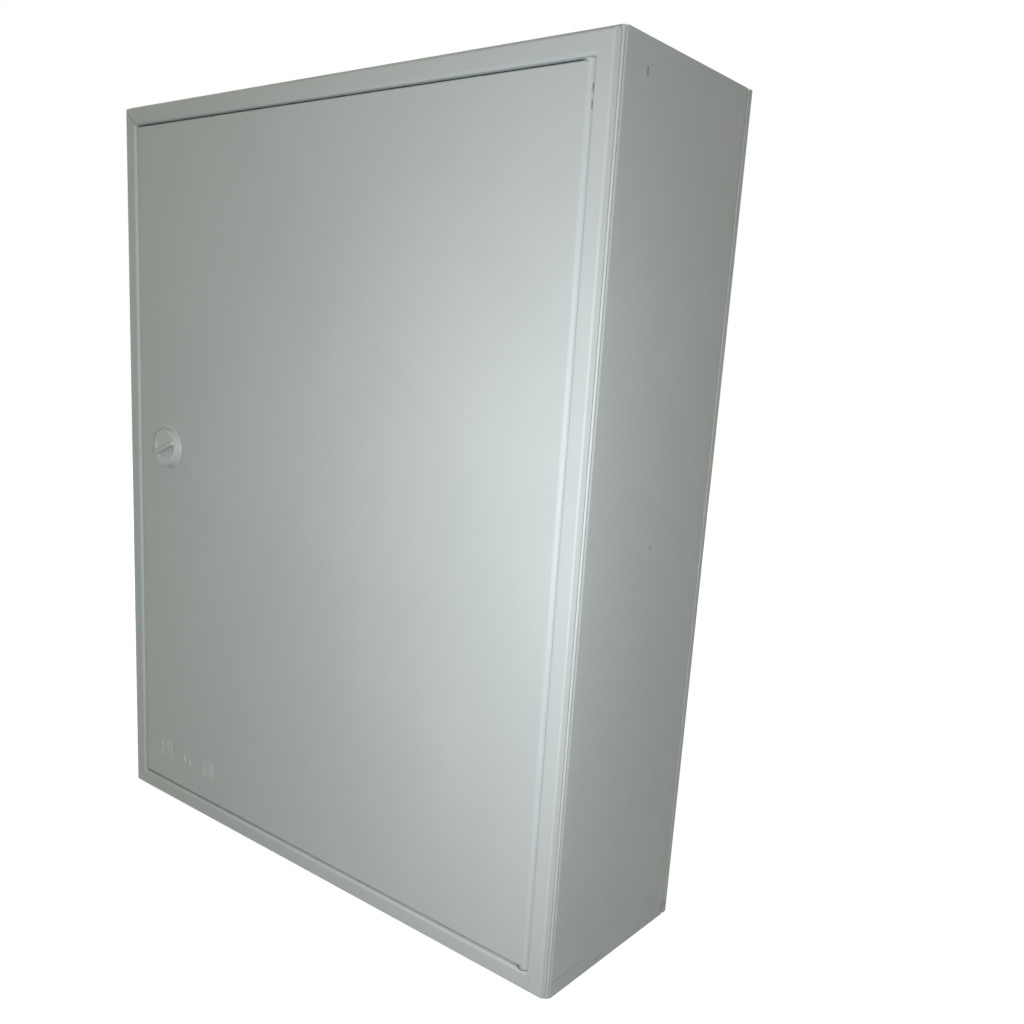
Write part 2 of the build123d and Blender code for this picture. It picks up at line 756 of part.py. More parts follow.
bar_support_spacing = bar_length - 2 * bar_support_width
with BuildPart() as mounting_plate:
    with BuildSketch(depth_plane(plate_back_depth)):
        with Locations((0, height / 2)):
            Rectangle(plate_width, plate_height)
            with GridLocations(stud_spacing_x, stud_spacing_z, 2, 2):
                Circle(stud_radius + stud_clearance, mode=Mode.SUBTRACT)
        for rail_z in (rail_upper_z, rail_lower_z):
            with Locations((0, rail_z)):
                with GridLocations(rail_screw_spacing, 1, 2, 1):
                    Circle(rail_screw_radius, mode=Mode.SUBTRACT)
    extrude(amount=plate_thickness)
mounting_plate.part.label = "mounting_plate"
export_step(mounting_plate.part, "parts/mounting_plate.step")

# Top-hat rails for the equipment, screwed to the plate
for label, rail_z in (("din_rail_upper", rail_upper_z), ("din_rail_lower", rail_lower_z)):
    rail_plane = Plane(origin=(0, at_depth(plate_front_depth), rail_z), x_dir=(0, 0, 1), z_dir=(1, 0, 0))
    with BuildPart() as din_rail:
        with BuildSketch(rail_plane):
            with Locations((0, rail_depth - rail_sheet / 2)):
                Rectangle(rail_height, rail_sheet)
            with Locations((0, rail_depth / 2)):
                Rectangle(rail_channel, rail_depth)
            with Locations((0, (rail_depth + rail_sheet) / 2)):
                Rectangle(rail_channel - 2 * rail_sheet, rail_depth - rail_sheet, mode=Mode.SUBTRACT)
        extrude(amount=rail_length / 2, both=True)
        with BuildSketch(depth_plane(plate_front_depth)):
            with Locations((0, rail_z)):
                with GridLocations(rail_slot_pitch, 1, rail_slots, 1):
                    SlotOverall(rail_slot_length, rail_slot_width)
        extrude(amount=rail_sheet, mode=Mode.SUBTRACT)
    din_rail.part.label = label
    export_step(din_rail.part, f"parts/{label}.step")

with BuildPart() as rail_screws:
    for rail_z in (rail_upper_z, rail_lower_z):
        with BuildSketch(depth_plane(plate_back_depth)):
            with Locations((0, rail_z)):
                with GridLocations(rail_screw_spacing, 1, 2, 1):
                    Circle(rail_screw_radius)
        extrude(amount=plate_thickness + rail_sheet)
        with BuildSketch(depth_plane(plate_front_depth - rail_sheet)):
            with Locations((0, rail_z)):
                with GridLocations(rail_screw_spacing, 1, 2, 1):
                    Circle(rail_head_radius)
        extrude(amount=rail_head_height)
rail_screws.part.label = "rail_screws"
export_step(rail_screws.part, "parts/rail_screws.step")

# Earth bar on two supports, with a row of clamping screws
bar_back_depth = plate_front_depth - bar_support_depth
bar_front_depth = bar_back_depth - bar_thickness
with BuildPart() as earth_bar_supports:
    with BuildSketch(depth_plane(plate_front_depth)):
        with Locations((0, bar_z)):
            with GridLocations(bar_support_spacing, 1, 2, 1):
                Rectangle(bar_support_width, bar_height)
    extrude(amount=bar_support_depth)
earth_bar_supports.part.label = "earth_bar_supports"
export_step(earth_bar_supports.part, "parts/earth_bar_supports.step")

with BuildPart() as earth_bar:
    with BuildSketch(depth_plane(bar_back_depth)):
        with Locations((0, bar_z)):
            Rectangle(bar_length, bar_height)
            with GridLocations(bar_hole_pitch, 1, bar_holes, 1):
                Circle(bar_hole_radius, mode=Mode.SUBTRACT)
    extrude(amount=bar_thickness)
earth_bar.part.label = "earth_bar"
export_step(earth_bar.part, "parts/earth_bar.step")

with BuildPart() as earth_screws:
    with BuildSketch(depth_plane(bar_back_depth)):
        with Locations((0, bar_z)):
            with GridLocations(bar_hole_pitch, 1, bar_holes, 1):
                Circle(bar_hole_radius - thread_clearance)
    extrude(amount=bar_thickness)
    with BuildSketch(depth_plane(bar_front_depth)):
        with Locations((0, bar_z)):
            with GridLocations(bar_hole_pitch, 1, bar_holes, 1):
                Circle(screw_head_radius)
    extrude(amount=screw_head_height)
earth_screws.part.label = "earth_screws"
export_step(earth_screws.part, "parts/earth_screws.step")
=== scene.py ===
import math

import bmesh
import bpy
import numpy as np
from mathutils import Matrix, Vector


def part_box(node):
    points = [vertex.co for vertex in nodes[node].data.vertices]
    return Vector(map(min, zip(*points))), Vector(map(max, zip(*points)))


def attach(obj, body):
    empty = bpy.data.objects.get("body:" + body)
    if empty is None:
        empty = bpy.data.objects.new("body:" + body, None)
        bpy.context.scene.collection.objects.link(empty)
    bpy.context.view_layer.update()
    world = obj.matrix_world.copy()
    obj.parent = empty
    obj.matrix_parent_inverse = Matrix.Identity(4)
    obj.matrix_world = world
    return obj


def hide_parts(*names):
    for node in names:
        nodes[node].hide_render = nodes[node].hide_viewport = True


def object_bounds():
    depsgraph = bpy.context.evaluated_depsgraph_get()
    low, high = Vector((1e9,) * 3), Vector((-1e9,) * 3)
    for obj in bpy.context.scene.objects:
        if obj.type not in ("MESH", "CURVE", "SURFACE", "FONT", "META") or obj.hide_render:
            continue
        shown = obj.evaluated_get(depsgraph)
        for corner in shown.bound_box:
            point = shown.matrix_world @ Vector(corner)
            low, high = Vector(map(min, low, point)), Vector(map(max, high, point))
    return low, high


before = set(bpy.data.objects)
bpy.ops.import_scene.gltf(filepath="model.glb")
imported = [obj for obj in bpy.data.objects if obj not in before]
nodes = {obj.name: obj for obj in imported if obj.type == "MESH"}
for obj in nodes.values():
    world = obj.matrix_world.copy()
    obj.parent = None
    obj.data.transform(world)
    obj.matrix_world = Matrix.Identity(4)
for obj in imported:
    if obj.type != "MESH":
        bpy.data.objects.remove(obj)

cadLow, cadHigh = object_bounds()
print("frame loaded:", len(nodes), "CAD nodes")

fullTurn, quarterTurn = 2 * math.pi, math.pi / 2
white = (1.0, 1.0, 1.0, 1.0)
meshing = {"weld": 1e-6, "sliver": 1e-7, "sharpAngle": 35.0}


def gridFaces(rows, columns, closeRows=False, closeColumns=False):
    # four-cornered faces between neighbouring points of a rows x columns grid
    row = np.arange(rows if closeRows else rows - 1)[:, None]
    column = np.arange(columns if closeColumns else columns - 1)[None, :]
    nextRow, nextColumn = (row + 1) % rows, (column + 1) % columns
    corners = (row * columns + column, nextRow * columns + column,
               nextRow * columns + nextColumn, row * columns + nextColumn)
    return np.stack([c.ravel() for c in corners], axis=1)


def joinParts(parts):
    # stacks point arrays into one, and moves each part's face numbers on
    starts = np.cumsum([0] + [len(points) for points, faces in parts[:-1]])
    points = np.concatenate([points for points, faces in parts])
    return points, np.concatenate([faces + start for (_, faces), start in zip(parts, starts)])


def facingOut(points, faces):
    # a part whose faces point inwards has a negative volume, so its faces are turned round
    a, b, c, d = (points[faces[:, k]] for k in range(4))
    volume = (np.cross(b - a, c - a) * a).sum() + (np.cross(c - a, d - a) * a).sum()
    return points, faces if volume > 0 else faces[:, ::-1]


def surfacePiece(name, parts, body, material):
    # one mesh from a list of parts, doubles welded, smooth but for its sharp edges
    points, faces = joinParts(parts)
    mesh = bpy.data.meshes.new(name)
    mesh.from_pydata(points.tolist(), [], faces.tolist())
    welded = bmesh.new()
    welded.from_mesh(mesh)
    bmesh.ops.remove_doubles(welded, verts=welded.verts, dist=meshing["weld"])
    bmesh.ops.dissolve_degenerate(welded, edges=welded.edges, dist=meshing["sliver"])
    welded.to_mesh(mesh)
    welded.free()
    mesh.polygons.foreach_set("use_smooth", [True] * len(mesh.polygons))
    mesh.set_sharp_from_angle(angle=math.radians(meshing["sharpAngle"]))
    mesh.materials.append(material)
    mesh.update()
    piece = bpy.data.objects.new(name, mesh)
    bpy.context.scene.collection.objects.link(piece)
    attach(piece, body)
    return piece


def newGroup(name, inputs, outputs):
    # an empty shader group with named sockets
    group = bpy.data.node_groups.new(name, "ShaderNodeTree")
    for socketName, kind, value in inputs:
        socket = group.interface.new_socket(socketName, in_out="INPUT", socket_type=kind)
        if value is not None:
            socket.default_value = value
    for socketName, kind in outputs:
        group.interface.new_socket(socketName, in_out="OUTPUT", socket_type=kind)
    return group, group.nodes.new("NodeGroupInput"), group.nodes.new("NodeGroupOutput")


def feed(tree, node, links):
    # each input gets a link or a value
    for socketName, source in links.items():
        if isinstance(source, bpy.types.NodeSocket):
            tree.links.new(source, node.inputs[socketName])
        else:
            node.inputs[socketName].default_value = source


def linkedNode(tree, kind, links=None, **settings):
    node = tree.nodes.new(kind)
    for key, value in settings.items():
        setattr(node, key, value)
    feed(tree, node, links or {})
    return node


def combined(tree, operation, first, second):
    links = {0: first, 1: second}
    return linkedNode(tree, "ShaderNodeMath", links, operation=operation).outputs[0]


def vectorMath(tree, operation, links):
    return linkedNode(tree, "ShaderNodeVectorMath", links, operation=operation).outputs[0]


def mapRange(tree, value, fromMin, fromMax, toMin, toMax):
    node = linkedNode(tree, "ShaderNodeMapRange", {
        "Value": value, "From Min": fromMin, "From Max": fromMax, "To Min": toMin, "To Max": toMax})
    return node.outputs["Result"]


noiseKinds = {  # detail and roughness
    "peel": (2.0, 0.55), "cloud": (5.0, 0.5), "fine": (3.0, 0.6), "dust": (6.0, 0.65),
    "lines": (3.0, 0.6), "blotch": (5.0, 0.6), "ragged": (3.0, 0.6),
}


def noise(tree, kind, vector, scale):
    detail, roughness = noiseKinds[kind]
    node = linkedNode(tree, "ShaderNodeTexNoise", {
        "Vector": vector, "Scale": scale, "Detail": detail, "Roughness": roughness})
    return node.outputs["Fac"]


effects = {
    "fineScale": 60.0,
    "dustFacing": (0.5, 1.0),  # share of the normal that looks up: no dust, full dust
    "dustPatch": (0.42, 0.68), "dustLeast": 0.15,
    "markAndShadeEdge": (1.0, 1.5),
}


def buildOrangePeel():
    # sprayed powder: a fine peel in the height, and slow clouds of tone and gloss
    group, given, result = newGroup(
        "orangePeel",
        [("Vector", "NodeSocketVector", None), ("Peel Scale", "NodeSocketFloat", 420.0),
         ("Cloud Scale", "NodeSocketFloat", 5.0)],
        [("Height", "NodeSocketFloat"), ("Tone", "NodeSocketFloat"), ("Gloss", "NodeSocketFloat")])
    vector = given.outputs["Vector"]
    cloud = noise(group, "cloud", vector, given.outputs["Cloud Scale"])
    fine = noise(group, "fine", vector, effects["fineScale"])
    feed(group, result, {"Height": noise(group, "peel", vector, given.outputs["Peel Scale"]),
                         "Tone": cloud, "Gloss": combined(group, "MULTIPLY", cloud, fine)})
    return group


def buildDust():
    # dust that lies on faces that look up, broken up by noise
    group, given, result = newGroup(
        "settledDust",
        [("Vector", "NodeSocketVector", None), ("Normal", "NodeSocketVector", None),
         ("Scale", "NodeSocketFloat", 30.0)],
        [("Mask", "NodeSocketFloat")])
    parts = linkedNode(group, "ShaderNodeSeparateXYZ", {"Vector": given.outputs["Normal"]})
    grain = noise(group, "dust", given.outputs["Vector"], given.outputs["Scale"])
    upward = mapRange(group, parts.outputs["Z"], *effects["dustFacing"], 0.0, 1.0)
    patch = mapRange(group, grain, *effects["dustPatch"], effects["dustLeast"], 1.0)
    feed(group, result, {"Mask": combined(group, "MULTIPLY", upward, patch)})
    return group


def buildBrushing():
    # drawn or rolled metal: long fine lines along one axis, with blotches
    group, given, result = newGroup(
        "drawnMetal",
        [("Vector", "NodeSocketVector", None), ("Line Scale", "NodeSocketFloat", 300.0),
         ("Blotch Scale", "NodeSocketFloat", 25.0)],
        [("Height", "NodeSocketFloat"), ("Tone", "NodeSocketFloat"),
         ("Spangle", "NodeSocketColor")])
    vector, blotchScale = given.outputs["Vector"], given.outputs["Blotch Scale"]
    spangle = linkedNode(group, "ShaderNodeTexVoronoi", {"Vector": vector, "Scale": blotchScale})
    feed(group, result, {"Height": noise(group, "lines", vector, given.outputs["Line Scale"]),
                         "Tone": noise(group, "blotch", vector, blotchScale),
                         "Spangle": spangle.outputs["Color"]})
    return group


def buildWearAndShadeMark():
    # a small patch, used for worn marks and for painted shade alike: its mask falls from 1 to 0
    # as |v - centre| / half size plus noise crosses the patch's edge
    group, given, result = newGroup(
        "wearAndShadeMark",
        [("Vector", "NodeSocketVector", None), ("Centre", "NodeSocketVector", None),
         ("Half Size", "NodeSocketVector", None), ("Grain", "NodeSocketFloat", 900.0)],
        [("Mask", "NodeSocketFloat")])
    vector = given.outputs["Vector"]
    away = vectorMath(group, "SUBTRACT", {0: vector, 1: given.outputs["Centre"]})
    share = vectorMath(group, "DIVIDE", {0: away, 1: given.outputs["Half Size"]})
    reach = vectorMath(group, "ABSOLUTE", {0: share})
    parts = linkedNode(group, "ShaderNodeSeparateXYZ", {"Vector": reach})
    wide = combined(group, "MAXIMUM", parts.outputs["X"], parts.outputs["Y"])
    far = combined(group, "MAXIMUM", wide, parts.outputs["Z"])
    grain = noise(group, "ragged", vector, given.outputs["Grain"])
    ragged = combined(group, "ADD", far, grain)
    feed(group, result, {"Mask": mapRange(group, ragged, *effects["markAndShadeEdge"], 1.0, 0.0)})
    return group


orangePeel = buildOrangePeel()
settledDust = buildDust()
drawnMetal = buildBrushing()
wearAndShadeMark = buildWearAndShadeMark()


def startMaterial(name):
    material = bpy.data.materials.new(name)
    material.use_nodes = True
    tree = material.node_tree
    place = tree.nodes.new("ShaderNodeTexCoord")
    return material, tree, tree.nodes["Principled BSDF"], place.outputs["Object"]


def placeGroup(tree, group, links):
    # one use of a shared group, with its own values and links
    return linkedNode(tree, "ShaderNodeGroup", links, node_tree=group)


def mixColour(tree, factor, first, second):
    links = {0: factor, 6: first, 7: second}  # the mix node's colour inputs are its 6 and 7
    return linkedNode(tree, "ShaderNodeMix", links, data_type="RGBA").outputs[2]


def bumped(tree, height, strength, distance):
    links = {"Height": height, "Strength": strength, "Distance": distance}
    return linkedNode(tree, "ShaderNodeBump", links).outputs["Normal"]


# the middle part of each noise's values, which is mapped to a whole range
spans = {"tone": (0.35, 0.65), "gloss": (0.12, 0.4), "blotch": (0.3, 0.7), "spangle": (0.2, 0.8)}

powderCoat = {
    "light": (0.606, 0.656, 0.644, 1.0),
    "dark": (0.566, 0.615, 0.605, 1.0),
    "dust": (0.52, 0.52, 0.48, 1.0), "dustScale": 26.0, "dustMost": 0.35,
    "roughness": (0.45, 0.60),
    "gloss": 0.34,
    "peelScale": 420.0, "cloudScale": 4.5, "peelStrength": 0.12, "peelDepth": 0.0004,
}
# colours of the coat's worn marks and dirt, and of its painted shade and painted shadow
markAndShadeColours = {
    # these two colours are painted shade in small dents
    "paintedDimpleShade": (0.20, 0.22, 0.21, 1.0), "paintedDentShade": (0.22, 0.24, 0.23, 1.0),
    "scuff": (0.30, 0.33, 0.32, 1.0), "pale": (0.80, 0.83, 0.81, 1.0),
    # the smudge colour is dirt; the darker colour beside it is painted shade in a crease
    "smudge": (0.42, 0.45, 0.42, 1.0), "paintedCreaseShade": (0.26, 0.29, 0.28, 1.0),
    # the near-black colour is painted shadow in the door gap; the scratch colour is pale wear
    "paintedGapShadow": (0.06, 0.065, 0.06, 1.0), "scratch": (0.72, 0.76, 0.74, 1.0),
}
coatMarksAndShade = [  # centre and half size in the shared frame, colour, strength
    # two dark specks on the side, near the top and half way down: painted shade in small dents
    ((0.325, -0.0632, 0.7762), (0.002, 0.0014, 0.0042), "paintedDimpleShade", 0.75),
    ((0.325, 0.0070, 0.4010), (0.002, 0.0016, 0.0016), "paintedDentShade", 0.6),
    ((0.325, -0.0195, 0.0056), (0.002, 0.0070, 0.0016), "scuff", 0.5),
    ((0.325, 0.0921, 0.7723), (0.002, 0.0016, 0.0052), "pale", 0.6),
    ((0.325, 0.0917, 0.7560), (0.002, 0.0012, 0.0030), "pale", 0.5),
    ((0.325, 0.1035, 0.0105), (0.002, 0.0080, 0.0055), "smudge", 0.4),
    # a dark line low along the side: painted shade in a crease
    ((0.325, -0.0665, 0.0150), (0.002, 0.0350, 0.0007), "paintedCreaseShade", 0.5),
    # two near-black strips on the frame by the door's hinge edge at the top: painted shadow in the
    # door gap
    ((0.3022, -0.0983, 0.7470), (0.0014, 0.0022, 0.0040), "paintedGapShadow", 0.9),
    ((0.3022, -0.0983, 0.7590), (0.0014, 0.0022, 0.0034), "paintedGapShadow", 0.9),
    ((-0.1400, 0.1118, 0.6300), (0.0300, 0.0020, 0.0009), "scratch", 0.5),
    ((0.1800, 0.1118, 0.2100), (0.0010, 0.0020, 0.0180), "scratch", 0.5),
]


def makePowderCoat():
    v = powderCoat
    material, tree, shader, place = startMaterial("powderCoatGrey")
    peel = placeGroup(tree, orangePeel, {
        "Vector": place, "Peel Scale": v["peelScale"], "Cloud Scale": v["cloudScale"]})
    geometry = tree.nodes.new("ShaderNodeNewGeometry")
    dust = placeGroup(tree, settledDust, {
        "Vector": place, "Normal": geometry.outputs["Normal"], "Scale": v["dustScale"]})
    tone = mapRange(tree, peel.outputs["Tone"], *spans["tone"], 0.0, 1.0)
    colour = mixColour(tree, tone, v["dark"], v["light"])
    dustAmount = mapRange(tree, dust.outputs["Mask"], 0.0, 1.0, 0.0, v["dustMost"])
    colour = mixColour(tree, dustAmount, colour, v["dust"])
    # patches of wear and dirt, and patches of painted shade and painted shadow, mixed into the
    # coat's colour
    for centre, half, markAndShadeColour, strength in coatMarksAndShade:
        markAndShade = placeGroup(tree, wearAndShadeMark, {"Vector": place, "Centre": centre, "Half Size": half})
        amount = mapRange(tree, markAndShade.outputs["Mask"], 0.0, 1.0, 0.0, strength)
        colour = mixColour(tree, amount, colour, markAndShadeColours[markAndShadeColour])
    roughness = mapRange(tree, peel.outputs["Gloss"], *spans["gloss"], *v["roughness"])
    normal = bumped(tree, peel.outputs["Height"], v["peelStrength"], v["peelDepth"])
    feed(tree, shader, {"Base Color": colour, "Roughness": roughness, "Normal": normal,
                        "Specular IOR Level": v["gloss"]})
    return material


metalSurface = {
    "metallic": 0.88, "roughness": (0.50, 0.36),  # dark blotches are rough, light ones smoother
    "lineScale": 260.0, "lineStrength": 0.15, "lineDepth": 0.0002,
    "spangleDark": 0.22,
}
metals = {
    "zincPlated": {"light": (0.74, 0.76, 0.78, 1.0), "dark": (0.64, 0.66, 0.69, 1.0),
                   "blotchScale": 70.0, "stretch": (1.0, 1.0, 1.0)},
    "railZinc": {"light": (0.90, 0.91, 0.92, 1.0), "dark": (0.80, 0.82, 0.84, 1.0),
                 "blotchScale": 40.0, "stretch": (0.05, 1.0, 1.0)},
    "screwZinc": {"light": (0.78, 0.79, 0.80, 1.0), "dark": (0.58, 0.60, 0.63, 1.0),
                  "blotchScale": 90.0, "stretch": (1.0, 1.0, 1.0)},
    "brassBar": {"light": (0.80, 0.62, 0.34, 1.0), "dark": (0.62, 0.46, 0.22, 1.0),
                 "blotchScale": 40.0, "stretch": (0.1, 1.0, 1.0)},
}


def makeMetal(name, values):
    v = metalSurface
    material, tree, shader, place = startMaterial(name)
    mapping = linkedNode(tree, "ShaderNodeMapping", {"Vector": place, "Scale": values["stretch"]})
    metal = placeGroup(tree, drawnMetal, {
        "Vector": mapping.outputs["Vector"], "Line Scale": v["lineScale"],
        "Blotch Scale": values["blotchScale"]})
    tone = mapRange(tree, metal.outputs["Tone"], *spans["blotch"], 0.0, 1.0)
    colour = mixColour(tree, tone, values["dark"], values["light"])
    grey = linkedNode(tree, "ShaderNodeRGBToBW", {"Color": metal.outputs["Spangle"]})
    spangle = mapRange(tree, grey.outputs["Val"], *spans["spangle"], 0.0, v["spangleDark"])
    roughness = mapRange(tree, metal.outputs["Tone"], *spans["blotch"], *v["roughness"])
    normal = bumped(tree, metal.outputs["Height"], v["lineStrength"], v["lineDepth"])
    feed(tree, shader, {"Base Color": mixColour(tree, spangle, colour, values["dark"]),
                        "Metallic": v["metallic"], "Roughness": roughness, "Normal": normal})
    return material


plasticSurface = {"cloudScale": 18.0, "grainDepth": 0.0003}
plastics = {
    "lockGrey": {"light": (0.60, 0.645, 0.635, 1.0), "dark": (0.56, 0.60, 0.59, 1.0),
                 "roughness": (0.35, 0.5), "grainScale": 900.0, "grain": 0.08},
    "greyNylon": {"light": (0.34, 0.37, 0.37, 1.0), "dark": (0.28, 0.31, 0.31, 1.0),
                  "roughness": (0.35, 0.5), "grainScale": 700.0, "grain": 0.1},
    "insulatorPlastic": {"light": (0.82, 0.83, 0.82, 1.0), "dark": (0.76, 0.77, 0.76, 1.0),
                         "roughness": (0.3, 0.45), "grainScale": 800.0, "grain": 0.08},
    "pocketPlastic": {"light": (0.66, 0.69, 0.69, 1.0), "dark": (0.61, 0.64, 0.64, 1.0),
                      "roughness": (0.25, 0.4), "grainScale": 900.0, "grain": 0.06},
    "foamSeal": {"light": (0.055, 0.055, 0.06, 1.0), "dark": (0.03, 0.03, 0.034, 1.0),
                 "roughness": (0.75, 0.95), "grainScale": 1100.0, "grain": 0.6},
}


def makePlastic(name, values):
    material, tree, shader, place = startMaterial(name)
    peel = placeGroup(tree, orangePeel, {
        "Vector": place, "Peel Scale": values["grainScale"],
        "Cloud Scale": plasticSurface["cloudScale"]})
    tone = mapRange(tree, peel.outputs["Tone"], *spans["tone"], 0.0, 1.0)
    roughness = mapRange(tree, peel.outputs["Gloss"], *spans["gloss"], *values["roughness"])
    normal = bumped(tree, peel.outputs["Height"], values["grain"], plasticSurface["grainDepth"])
    feed(tree, shader, {"Base Color": mixColour(tree, tone, values["dark"], values["light"]),
                        "Roughness": roughness, "Normal": normal})
    return material


materials = {"powderCoatGrey": makePowderCoat()}
materials.update({name: makeMetal(name, values) for name, values in metals.items()})
materials.update({name: makePlastic(name, values) for name, values in plastics.items()})
nodeMaterials = {
    "powderCoatGrey": ["wall_left", "wall_right", "wall_top", "wall_bottom", "back_panel",
                       "frame_left", "frame_right", "frame_top", "frame_bottom",
                       "hinge_plate_top", "hinge_plate_bottom", "door_panel", "door_stiffener",
                       "lock_keeper"],
    "railZinc": ["din_rail_upper", "din_rail_lower", "lock_cam"],
    "zincPlated": ["mounting_plate", "rail_screws", "plate_studs", "plate_nuts", "gland_plate",
                   "gland_screws", "earth_screws", "hinge_pin_top", "hinge_pin_bottom",
                   "cam_washer", "cam_screw", "lock_nut"],
    "brassBar": ["earth_bar"],
    "lockGrey": ["lock_housing", "lock_knob", "hinge_boss_top", "hinge_boss_bottom"],
    "greyNylon": ["hinge_washer"],
    "insulatorPlastic": ["earth_bar_supports"],
    "pocketPlastic": ["document_pocket"],
    "foamSeal": ["gland_gasket", "door_gasket"],
}
for materialName, nodeNames in nodeMaterials.items():
    for nodeName in nodeNames:
        slots = nodes[nodeName].material_slots
        if not slots:
            nodes[nodeName].data.materials.append(materials[materialName])
        for slot in slots:
            slot.material = materials[materialName]
print("materials set")


def anglesAround(steps):
    return np.linspace(0.0, fullTurn, steps, endpoint=False)


def roundedLoop(left, right, bottom, top, radius, steps):
    # points and inward normals of a rectangle's outline with round corners, in x and z
    quarter = np.linspace(0.0, quarterTurn, steps)
    centres = np.array([(right - radius, top - radius), (left + radius, top - radius),
                        (left + radius, bottom + radius), (right - radius, bottom + radius)])
    angles = quarter[None, :] + (np.arange(4) * quarterTurn)[:, None]
    outward = np.stack([np.cos(angles), np.sin(angles)], axis=-1)
    points = centres[:, None, :] + radius * outward
    return points.reshape(-1, 2), -outward.reshape(-1, 2)


def carriedAround(loop, across, y):
    # a closed profile carried round a loop: each point goes inwards by across, at the depth y
    points, inward = loop
    ring = points[:, None, :] + inward[:, None, :] * np.asarray(across)[None, :, None]
    depth = np.broadcast_to(y, ring.shape[:2])
    surface = np.stack([ring[..., 0], depth, ring[..., 1]], axis=-1)
    faces = gridFaces(*ring.shape[:2], closeRows=True, closeColumns=True)
    return facingOut(surface.reshape(-1, 3), faces)


def roundCorners(corners, cut, steps=5):
    # each corner P becomes the curve (1-s)^2 A + 2 s (1-s) P + s^2 B between its two cuts
    corners, cut = np.asarray(corners, float), np.asarray(cut, float)[:, None]
    before, after = np.roll(corners, 1, axis=0) - corners, np.roll(corners, -1, axis=0) - corners
    start = corners + cut * before / np.linalg.norm(before, axis=1, keepdims=True)
    end = corners + cut * after / np.linalg.norm(after, axis=1, keepdims=True)
    s = np.linspace(0.0, 1.0, steps)[None, :, None]
    curve = ((1 - s) ** 2 * start[:, None] + 2 * s * (1 - s) * corners[:, None]
             + s ** 2 * end[:, None])
    return curve.reshape(-1, 2)


def turned(profile, centre, steps):
    # a closed profile of (radius, height) turned about an axis that points at the viewer
    angle = anglesAround(steps)[None, :]
    radius, height = profile[:, 0:1], profile[:, 1:2]
    points = np.stack([centre[0] + radius * np.cos(angle), centre[1] - height + 0 * angle,
                       centre[2] + radius * np.sin(angle)], axis=-1).reshape(-1, 3)
    faces = gridFaces(len(profile), steps, closeRows=True, closeColumns=True)
    return facingOut(points, faces)


def stacked(radii, heights, centre, towards="front"):
    # outlines of radius r(angle) at heights, one after the other along an axis
    radii = np.asarray(radii)
    angle = anglesAround(radii.shape[1])[None, :]
    height = np.broadcast_to(np.asarray(heights)[:, None], radii.shape)
    across, up = radii * np.cos(angle), radii * np.sin(angle)
    shape = {"front": (across, -height, up), "top": (across, up, height),
             "back": (across, height, up)}[towards]
    points = np.stack(shape, axis=-1) + np.asarray(centre)
    return facingOut(points.reshape(-1, 3), gridFaces(*radii.shape, closeColumns=True))


def capped(radii, heights):
    # adds an outline of radius nought at each end, so that the part is closed
    radii, heights = np.asarray(radii), np.asarray(heights)
    zero = np.zeros((1, radii.shape[1]))
    return (np.concatenate([zero, radii, zero]),
            np.concatenate([heights[:1], heights, heights[-1:]]))


def copiedTo(part, places):
    # the same part moved by each of a list of places
    points, faces = part
    places = np.asarray(places, float)
    moved = (points[None] + places[:, None]).reshape(-1, 3)
    numbers = faces[None] + (np.arange(len(places)) * len(points))[:, None, None]
    return moved, numbers.reshape(-1, 4)


def crossOutline(arm, halfWidth, steps):
    # r(a) of a plus sign: the larger of its two bars' reach in each direction
    angle = anglesAround(steps) + 1e-6  # off the axes, where a bar's reach has no bound
    c, s = np.abs(np.cos(angle)), np.abs(np.sin(angle))
    return np.maximum(np.minimum(arm / c, halfWidth / s), np.minimum(arm / s, halfWidth / c))


def hexOutline(flats, steps):
    # r(a) of a hexagon: half its flats over the cosine of the angle from the nearest flat's middle
    angle = anglesAround(steps) + math.pi / 6
    return flats / 2 / np.cos((angle + math.pi / 6) % (math.pi / 3) - math.pi / 6)


def thread(radius, depth, pitch, low, high, steps, perTurn=6):
    # r = radius - depth * |wave|, where the wave climbs one pitch in a turn
    heights = np.linspace(low, high, max(3, int((high - low) / pitch * perTurn)))
    angle = np.linspace(0.0, 1.0, steps, endpoint=False)
    phase = (heights[:, None] / pitch - angle[None, :]) % 1.0
    return radius - depth * np.abs(2 * phase - 1), heights


seams = {
    "frontRadius": 0.00165, "frontReach": 0.0020, "frontInset": 0.0022, "frontDepth": 0.00785,
    "rearWidth": 0.0015, "rearInset": 0.00022, "rearSag": 0.00018, "rearFoot": 0.0016,
    "rearOverlap": 0.0003,
    "cornerRadius": 0.0022, "cornerSteps": 6, "frontSteps": 16, "rearSteps": 9,
}


def makeSeams():
    # the coat closes the seams: a bead with an oval section, reach * cos(t) across and
    # radius * sin(t) along, beside the front frame, and a strip that sags as 4 s (1 - s)
    # before the back tray
    v = seams
    loop = roundedLoop(cadLow[0], cadHigh[0], cadLow[2], cadHigh[2], v["cornerRadius"],
                       v["cornerSteps"])
    t = anglesAround(v["frontSteps"])
    across = v["frontInset"] + v["frontReach"] * np.cos(t)
    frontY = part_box("frame_right")[0][1] + v["frontDepth"]
    front = carriedAround(loop, across, frontY + v["frontRadius"] * np.sin(t))
    s = np.linspace(0.0, 1.0, v["rearSteps"])
    across = np.concatenate([v["rearInset"] + v["rearSag"] * 4 * s * (1 - s), [v["rearFoot"]] * 2])
    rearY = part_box("back_panel")[0][1] + v["rearOverlap"]
    rear = carriedAround(loop, across, rearY - v["rearWidth"] * np.concatenate([s, [1.0, 0.0]]))
    surfacePiece("coatedSeams", [front, rear], "cabinet", materials["powderCoatGrey"])


makeSeams()
print("seams made")

sealStrip = {"width": 0.009, "height": 0.0017, "fullness": 0.6, "cornerRadius": 0.006,
             "cornerSteps": 8, "profileSteps": 14}


